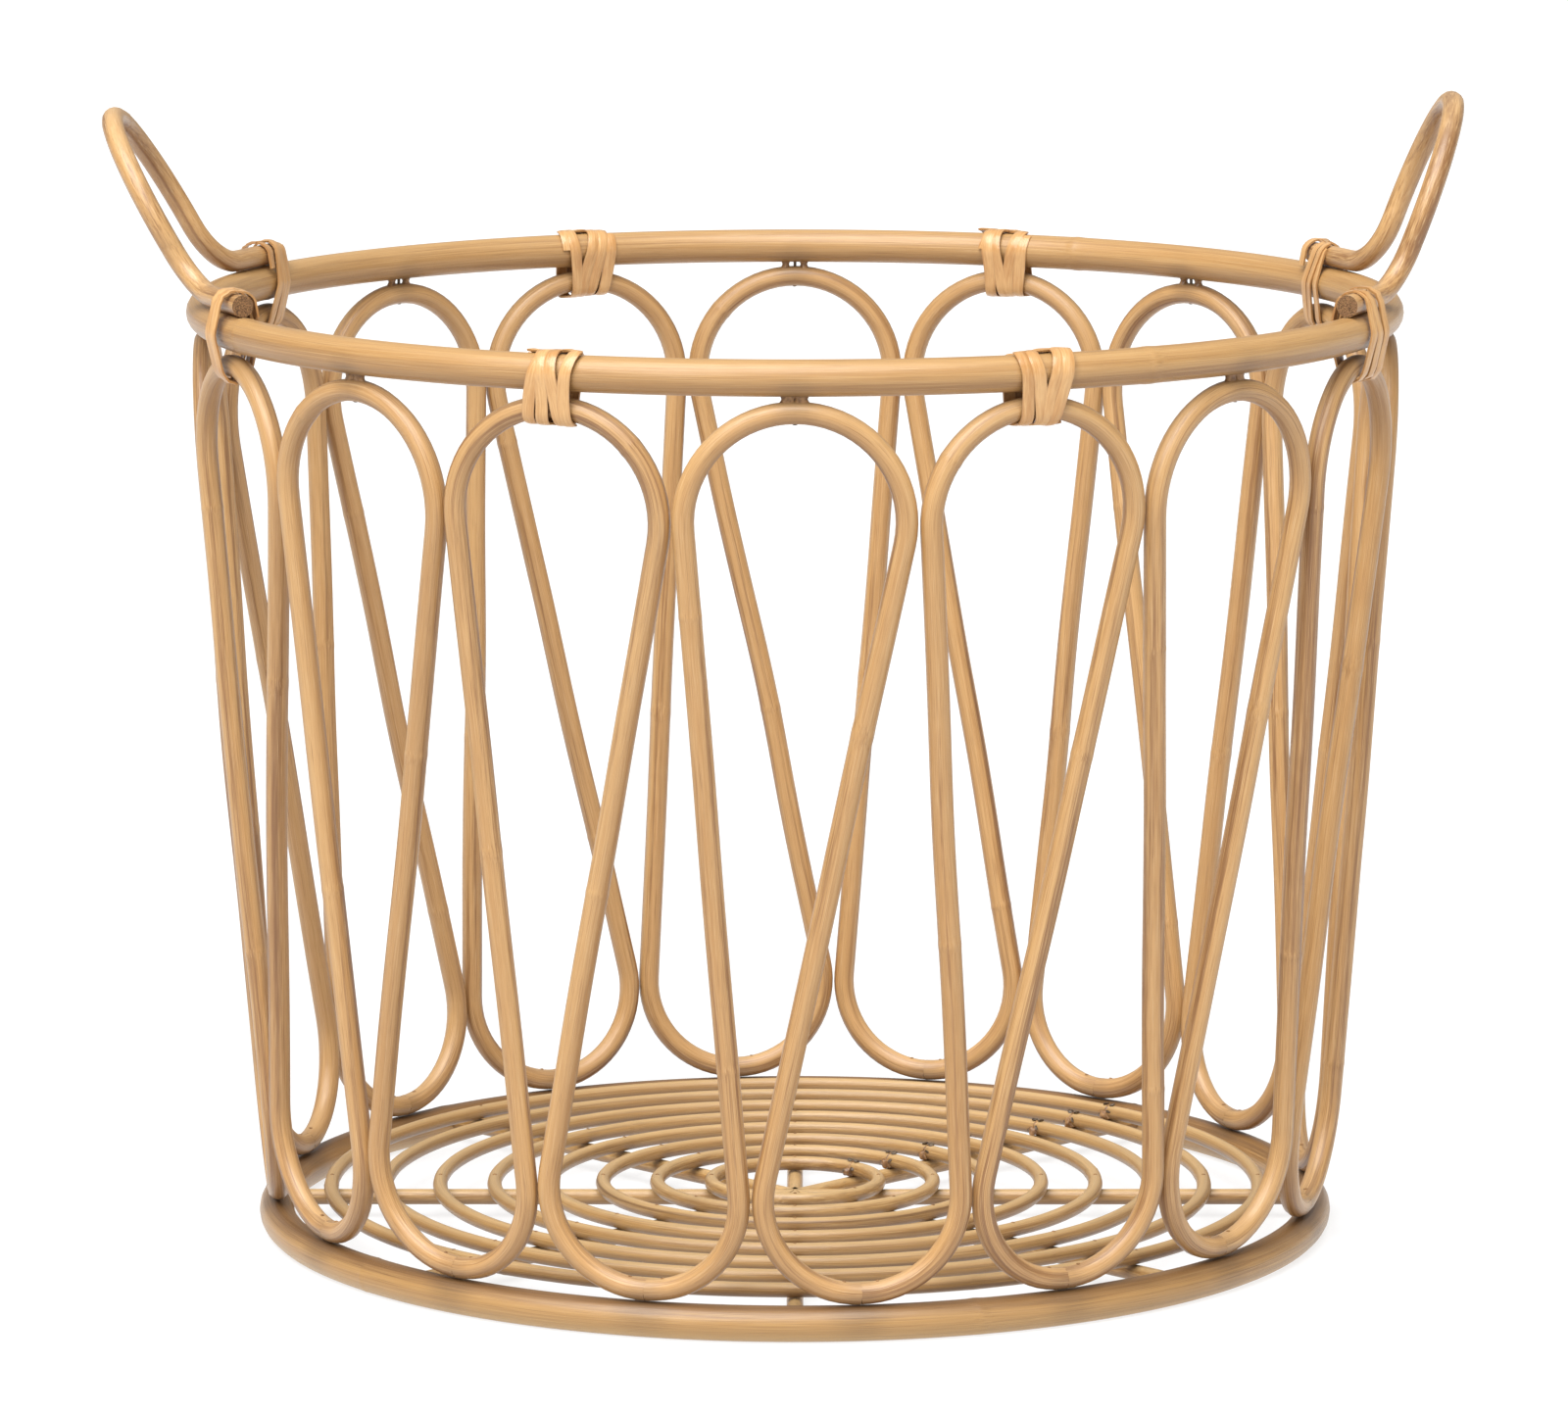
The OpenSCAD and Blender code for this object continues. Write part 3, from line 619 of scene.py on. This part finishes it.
# One strip of flat peel wound round the canes, each turn laid a little differently.
# hand says which edge of a loose strip stands out
def windBinding(name, node, k, heights, widths, look, seed, slants=(), hand=1):
    rand = random.Random(seed)
    turns, strap = look["turns"], look["strap"]
    loop = tightLoop(heights, widths, peel["off"] + peel["thick"] / 2, peel["step"])
    count = len(loop)
    start = int(count * peel["startAt"])
    total = int(count * (turns + peel["overrun"]))
    shifts = [rand.uniform(-peel["shift"], peel["shift"]) * mm for _ in range(turns + 2)]
    lifts = [0.0] + [(rand.uniform(peel["leastLift"], look["loose"]) + peel["moreEachTurn"] * i) * mm
                     for i in range(turns + 1)]
    tilts = list(slants) or [rand.uniform(-0.5, 0.5) * look["tilt"] for _ in range(turns + 2)]
    deselect()
    bpy.ops.mesh.primitive_grid_add(x_subdivisions=peel["across"], y_subdivisions=total, size=1)
    strip = bpy.context.object
    strip.name = name
    mesh = strip.data
    centre = sum(heights) / len(heights)
    for vertex in mesh.vertices:
        u = vertex.co.x + 0.5
        run = (vertex.co.y + 0.5) * total
        turn = run / count
        i = int(turn)
        ease = (turn - i) ** 2 * (3 - 2 * (turn - i))
        here = (start + run) % count
        a, b, part = loop[int(here) % count], loop[(int(here) + 1) % count], here - int(here)
        x, z = a[0] + (b[0] - a[0]) * part, a[1] + (b[1] - a[1]) * part
        before, after = loop[(int(here) - 2) % count], loop[(int(here) + 3) % count]
        long = math.hypot(after[0] - before[0], after[1] - before[1])
        nx, nz = (after[1] - before[1]) / long, (before[0] - after[0]) / long
        outer = nx > 0
        sideways = (u - 0.5) * strap * (look["cover"] + peel["uneven"] * math.sin(turn * 9 + seed))
        middle = (turn - 0.06 - turns / 2) * strap + shifts[i] * (1 - ease) + shifts[i + 1] * ease
        tilt = tilts[i] * (1 - ease) + tilts[i + 1] * ease
        middle += tilt * (z - centre) * (1 if outer else -1)
        lift = lifts[i] * (1 - ease) + lifts[i + 1] * ease
        lift += look["crown"] * (1 - (2 * u - 1) ** 2) - peel["sink"]
        lift += peel["twist"] * math.sin(turn * 5.1 + seed * 1.7) * (u - 0.5)
        if look["fan"]:
            upright = max(0.0, abs(nx) - 0.15) ** 2
            lift += (look["stand"] + look["standEachTurn"] * turn) * mm * upright * (1 if outer else 0.2)
            roll = look["fan"] * upright * (1 if outer else 0.0)
            lift += (hand * sideways + strap / 2) * math.sin(roll)
            sideways *= math.cos(roll)
        ends = min(run, total - run) / peel["tuckOver"]
        if ends < 1:
            lift -= peel["tuck"] * (1 - ends)
        vertex.co = (rim["radius"] + x + nx * lift, middle + sideways, z + nz * lift)
    uvs = mesh.uv_layers.active
    uvs.name = "UVMap"
    for uv in uvs.data:
        uv.uv.y = uv.uv.y * total * peel["step"] + seed
    mesh.transform(Matrix.Rotation(math.radians(archAt(k)), 4, "Z"))
    activate(strip)
    bpy.ops.object.mode_set(mode="EDIT")
    bpy.ops.mesh.select_all(action="SELECT")
    bpy.ops.mesh.normals_make_consistent(inside=False)
    bpy.ops.object.mode_set(mode="OBJECT")
    modifier = strip.modifiers.new("thick", "SOLIDIFY")
    modifier.thickness = peel["thick"]
    modifier.offset = 0
    bpy.ops.object.modifier_apply(modifier="thick")
    mesh.materials.append(peelLook)
    bpy.ops.object.shade_smooth_by_angle(angle=math.radians(48))
    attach(strip, "root")
    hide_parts(node)


def archDrop(width):
    return archBend - math.sqrt(archBend ** 2 - width ** 2)


for i, k in enumerate((1, 7, 9, 15)):
    low = side["archZ"] - archDrop(rimBinding["turns"] * rimBinding["strap"] / 2)
    windBinding(f"rimBinding{i + 1}", f"rim_binding_{i + 1}", k, [low, rim["height"]],
                [side["thick"], rim["thick"]], rimBinding, 11 + i, slants=rimSlants[i])
for i, k in enumerate((3, 5, 11, 13)):
    low = side["archZ"] - archDrop(handleBinding["turns"] * handleBinding["strap"] / 2)
    windBinding(f"handleBinding{i + 1}", f"handle_binding_{i + 1}", k,
                [low, rim["height"], handle["footZ"]], [side["thick"], rim["thick"], handle["thick"]],
                handleBinding, 31 + i, hand=1 if k < 8 else -1)

# A thin splinter of peel stands off each handle's front end
splinter = {"thick": 0.5 * mm, "forward": 6 * mm,
            "points": ((1, 3, 4), (-2, 5, 2), (-6, 6, -2), (-9, 7, -8), (-10, 8, -11))}
for k, way in ((13, 1), (3, -1)):
    spot = Vector((rim["radius"], -way * splinter["forward"], handle["footZ"]))
    path = [turned(spot + Vector((x, -way * y, z)) * mm, archAt(k)) for x, y, z in splinter["points"]]
    dense = []
    for a, b in zip(path, path[1:]):
        dense += [a.lerp(b, t / 6) for t in range(6)]
    wisp = sweep(f"wisp{k}", dense + [path[-1]], splinter["thick"], peelLook, sides=8)
    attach(wisp, "root")
print("bindings wound")

nail = {"head": 1.0 * mm, "flat": 0.36, "shank": 0.6 * mm, "out": 6 * mm, "jointOut": 1.6 * mm,
        "jointUp": 0.35 * mm, "innerIn": 2.6 * mm, "innerOut": 1.9 * mm, "sunk": 0.1 * mm, "into": 0.5 * mm}


# Joins small pieces into one, with its place in its mesh
def joined(name, pieces, look, node):
    deselect()
    for piece in pieces:
        piece.select_set(True)
    bpy.context.view_layer.objects.active = pieces[0]
    bpy.ops.object.join()
    whole = bpy.context.object
    whole.name = name
    bpy.ops.object.transform_apply(location=True, rotation=True, scale=True)
    whole.data.materials.clear()
    whole.data.materials.append(look)
    bpy.ops.object.shade_smooth_by_angle(angle=math.radians(45))
    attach(whole, "root")
    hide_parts(node)


# A low domed head, set nearly flush
def nailHead(place, lean, size):
    deselect()
    bpy.ops.mesh.primitive_uv_sphere_add(segments=12, ring_count=6, radius=nail["head"] * size,
                                         location=place)
    head = bpy.context.object
    head.scale = (1, 1, nail["flat"])
    head.rotation_euler = (lean * random.uniform(-1, 1), lean * random.uniform(-1, 1), random.uniform(0, 3))
    return head


footWay = (footB - footA).normalized()
rise = footBend - math.sqrt(footBend ** 2 - nail["out"] ** 2)
footHeads = []
for k in loops:
    for way in (-1, 1):
        place = turned(footJoint + footWay * way * nail["out"], archAt(k) - archShift)
        footHeads.append(nailHead(place + Vector((0, 0, rise + side["thick"] / 2)), 0.25, 0.8))
joined("footNails", footHeads, flushNailLook, "foot_nails")
ringHeads, jointHeads = [], []
ringTop = floor["ringZ"] + floor["thick"] / 2
for radius in ringRadii:
    for s in range(8):
        if s == 1:  # the ring's own joint
            for way in (-1, 1):
                spot = Vector((radius, way * nail["jointOut"], ringTop + nail["jointUp"]))
                jointHeads.append(nailHead(turned(spot, floor["between"]), 0.4, 1.3))
            for way, up in ((-1, 0.6 * mm), (1, -0.5 * mm)):
                spot = Vector((radius - nail["innerIn"], way * nail["innerOut"], floor["ringZ"] + up))
                jointHeads.append(nailHead(turned(spot, floor["between"]), 1.1, 1.15))
        else:
            spot = Vector((radius, 0, ringTop - nail["sunk"]))
            ringHeads.append(nailHead(turned(spot, floor["between"] * s), 0.1, 0.75))
joined("ringNails", ringHeads, flushNailLook, "ring_nails")
joined("ringJointNails", jointHeads, nailLook, "ring_nails")
rimHeads = []
for k in loops[::2]:
    spot = turned(Vector((rim["radius"], 0, side["archZ"] - side["thick"] / 2)), archAt(k))
    rimHeads.append(nailHead(spot, 0.2, 0.9))
    deselect()
    low = side["archZ"] + side["thick"] / 2 - nail["into"]
    high = rim["height"] - rim["thick"] / 2 + nail["into"]
    bpy.ops.mesh.primitive_cylinder_add(vertices=12, radius=nail["shank"], depth=high - low,
                                        location=(spot.x, spot.y, (high + low) / 2))
    rimHeads.append(bpy.context.object)
joined("rimNails", rimHeads, nailLook, "rim_nails")
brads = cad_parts["spoke_nails"]
brads.data.materials.clear()
brads.data.materials.append(nailLook)

# Glue squeezed out where the two ends of each floor ring meet, with a drip on the inner side
ringGlue = {"over": 0.12 * mm, "drip": 2.0 * mm, "dripIn": 2.3 * mm, "dripAside": 0.3 * mm,
            "dripDown": 1.0 * mm}
lumps = []
for i, radius in enumerate(ringRadii):
    deselect()
    spot = turned(Vector((radius, 0, floor["ringZ"])), floor["between"])
    bpy.ops.mesh.primitive_uv_sphere_add(segments=24, ring_count=14, location=spot,
                                         radius=floor["thick"] / 2 + ringGlue["over"],
                                         rotation=(0, 0, floor["jointAt"]))
    lump = bpy.context.object
    for vertex in lump.data.vertices:
        wobble = noise.noise(vertex.co * 700 + Vector((i * 3.1, 0, 0)))
        vertex.co.y *= 0.36 + 0.16 * wobble
        vertex.co *= 1.04 + 0.09 * wobble
    lumps.append(lump)
    deselect()
    height = floor["ringZ"] - ringGlue["dripDown"]
    spot = turned(Vector((radius - ringGlue["dripIn"], ringGlue["dripAside"], height)), floor["between"])
    bpy.ops.mesh.primitive_uv_sphere_add(segments=20, ring_count=12, location=spot, radius=ringGlue["drip"],
                                         rotation=(0, 0, floor["jointAt"]))
    drip = bpy.context.object
    for vertex in drip.data.vertices:
        vertex.co *= 0.95 + 0.5 * noise.noise(vertex.co * 600 + Vector((i * 2.3, 1, 0)))
    lumps.append(drip)
joined("ringGlue", lumps, glueLook, "ring_glue")

# Under the rim the glue has set as two little necks beside the nail, run together at the front
necks = {"apart": 3.7 * mm, "waist": 1.35 * mm, "spread": 2.4 * mm, "tall": 3.6 * mm, "deep": 1.0}
saddles = {"apart": 2.3 * mm, "waist": 2.3 * mm, "spread": 3.6 * mm, "tall": 3.6 * mm, "deep": 0.7}
rough = {"most": 2.0 * mm, "lumps": 0.12 * mm, "uneven": 0.2 * mm}
dabs = []
for k in loops[::2]:
    glue = saddles if k in (0, 2, 14) else necks
    height = rim["height"] - rim["thick"] / 2 - side["rimGap"] / 2 - archDrop(glue["apart"]) / 2
    for way in (-1, 1):
        deselect()
        bpy.ops.mesh.primitive_cylinder_add(vertices=20, radius=glue["waist"], depth=glue["tall"])
        dab = bpy.context.object
        bpy.ops.object.mode_set(mode="EDIT")
        bpy.ops.mesh.select_all(action="SELECT")
        bpy.ops.mesh.subdivide(number_cuts=5)
        bpy.ops.object.mode_set(mode="OBJECT")
        aside = way * (glue["apart"] + random.uniform(-1, 1) * rough["uneven"])
        for vertex in dab.data.vertices:
            t = abs(vertex.co.z) / (glue["tall"] / 2)
            grow = (glue["waist"] + (glue["spread"] - glue["waist"]) * t ** 1.6) / glue["waist"]
            vertex.co.x *= min(grow, rough["most"] / glue["waist"]) * glue["deep"]
            vertex.co.y *= grow
            vertex.co += noise.noise_vector(vertex.co * 900 + Vector((k, way, 0))) * rough["lumps"]
            vertex.co += Vector((rim["radius"], aside, height))
        dab.data.transform(Matrix.Rotation(math.radians(archAt(k)), 4, "Z"))
        dabs.append(dab)
joined("rimGlue", dabs, glueLook, "rim_glue")
print("nails and glue finished")

stage = {"size": 30, "below": 0.2 * mm, "glow": 0.78, "surround": 0.36}
deselect()
bpy.ops.mesh.primitive_plane_add(size=stage["size"], location=(0, 0, -stage["below"]))
ground = bpy.context.object
ground.name = "ground"
groundLook, groundStart, groundShader = newMaterial("paleGround")
cloudy = groundStart.node("ShaderNodeTexCoord", {}, out=3).noise(3.0, 2.0)
tint = cloudy.mix(rgb(130, 130, 130), rgb(134, 134, 134))
groundStart.tree.links.new(tint.out, groundShader.inputs["Base Color"])
groundShader.inputs["Roughness"].default_value = 0.9
groundShader.inputs["Specular IOR Level"].default_value = 0.1
groundShader.inputs["Emission Color"].default_value = (1, 1, 1, 1)
groundShader.inputs["Emission Strength"].default_value = stage["glow"]
ground.data.materials.append(groundLook)

world = bpy.data.worlds.new("studio")
world.use_nodes = True
world.node_tree.nodes["Background"].inputs[0].default_value = (1, 1, 1, 1)
world.node_tree.nodes["Background"].inputs[1].default_value = stage["surround"]
bpy.context.scene.world = world


def softbox(name, place, aim, wide, power):
    deselect()
    bpy.ops.object.light_add(type="AREA", location=place)
    lamp = bpy.context.object
    lamp.name = name
    lamp.data.shape = "RECTANGLE"
    lamp.data.size, lamp.data.size_y = wide
    lamp.data.energy = power
    lamp.rotation_euler = (Vector(aim) - Vector(place)).to_track_quat("-Z", "Y").to_euler()
    return lamp


softbox("fillBox", (2.4, -2.2, 1.2), (0, 0, 0.2), (1.2, 1.2), 8)
softbox("frontBox", (-1.2, -3.0, 1.7), (0, 0, 0.2), (0.7, 0.7), 12)
bpy.ops.object.light_add(type="SUN", location=(0, 0, 3))
skyLight = bpy.context.object
skyLight.name = "bigSoftbox"
skyLight.data.energy = 4.8
skyLight.data.angle = math.radians(58)  # wide, for soft edges
skyLight.rotation_euler = Vector((0.30, 0.62, -1.25)).to_track_quat("-Z", "Y").to_euler()

view = {"back": 2.9067, "height": 0.6713, "pitch": 9.32, "lens": 181.0395, "shift": -0.00698125}
cameraData = bpy.data.cameras.new("camera")
camera = bpy.data.objects.new("camera", cameraData)
bpy.context.scene.collection.objects.link(camera)
camera.location = (0, -view["back"], view["height"])
camera.rotation_euler = (math.radians(90 - view["pitch"]), 0, 0)
cameraData.sensor_width = 36
cameraData.lens = view["lens"]
cameraData.shift_x = view["shift"]
cameraData.clip_end = 50
bpy.context.scene.camera = camera
bpy.context.scene.view_settings.view_transform = "Standard"
print("stage lit")
